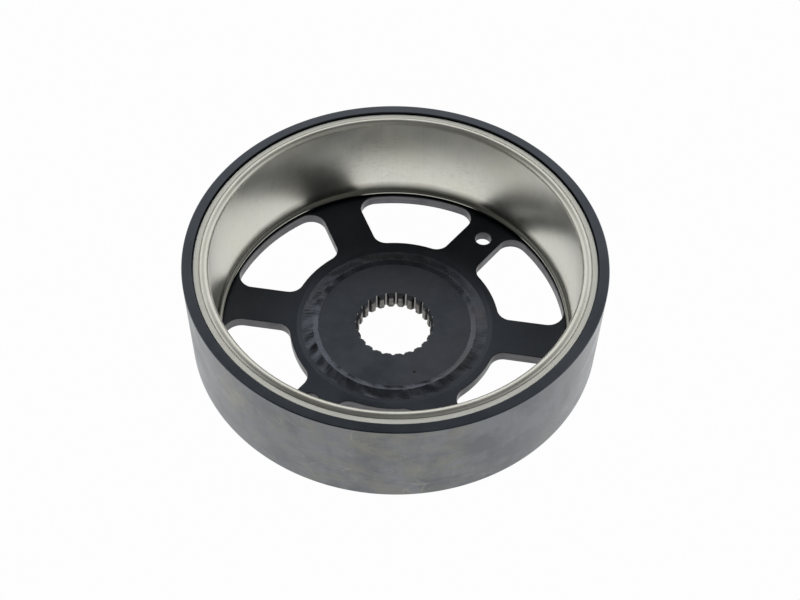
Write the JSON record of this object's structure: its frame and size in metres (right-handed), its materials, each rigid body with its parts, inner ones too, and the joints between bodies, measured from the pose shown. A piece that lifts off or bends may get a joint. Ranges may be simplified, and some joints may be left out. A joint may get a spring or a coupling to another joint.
{
  "type": "flywheel",
  "caption": "Magneto flywheel: a steel rim ring with a magnet liner, a spoked web plate and a welded hub with an internal spline.",
  "frame": {"origin": "centre of the hub's rear face, on the engine's axis", "axes": "+Z along the engine's axis, out of the open side that the stator enters; +X and +Y in the plane of the rim"},
  "size_m": [0.152, 0.152, 0.0483],
  "materials": {
    "rim_steel": "turned and burnished steel with light stains",
    "black_web": "black oxide, satin",
    "hub_steel": "black oxide over a turned face",
    "weld_metal": "rippled weld under black oxide",
    "stainless_liner": "satin stainless sheet",
    "spacer_aluminium": "plain turned",
    "potting_resin": "cast resin, matt",
    "magnet": "sintered magnet, matt dark grey"
  },
  "bodies": {
    "root": {"rim_shell": "rim_steel", "spider_plate": "black_web", "splined_hub": "hub_steel", "hub_weld_front": "weld_metal", "hub_weld_rear": "weld_metal", "rim_weld": "weld_metal", "magnet_liner": "stainless_liner", "magnet_spacer": "spacer_aluminium", "magnet_potting": "potting_resin", "magnet_01": "magnet", "magnet_02": "magnet", "magnet_03": "magnet", "magnet_04": "magnet", "magnet_05": "magnet", "magnet_06": "magnet", "magnet_07": "magnet", "magnet_08": "magnet", "magnet_09": "magnet", "magnet_10": "magnet", "magnet_11": "magnet", "magnet_12": "magnet"}
  },
  "joints": []
}
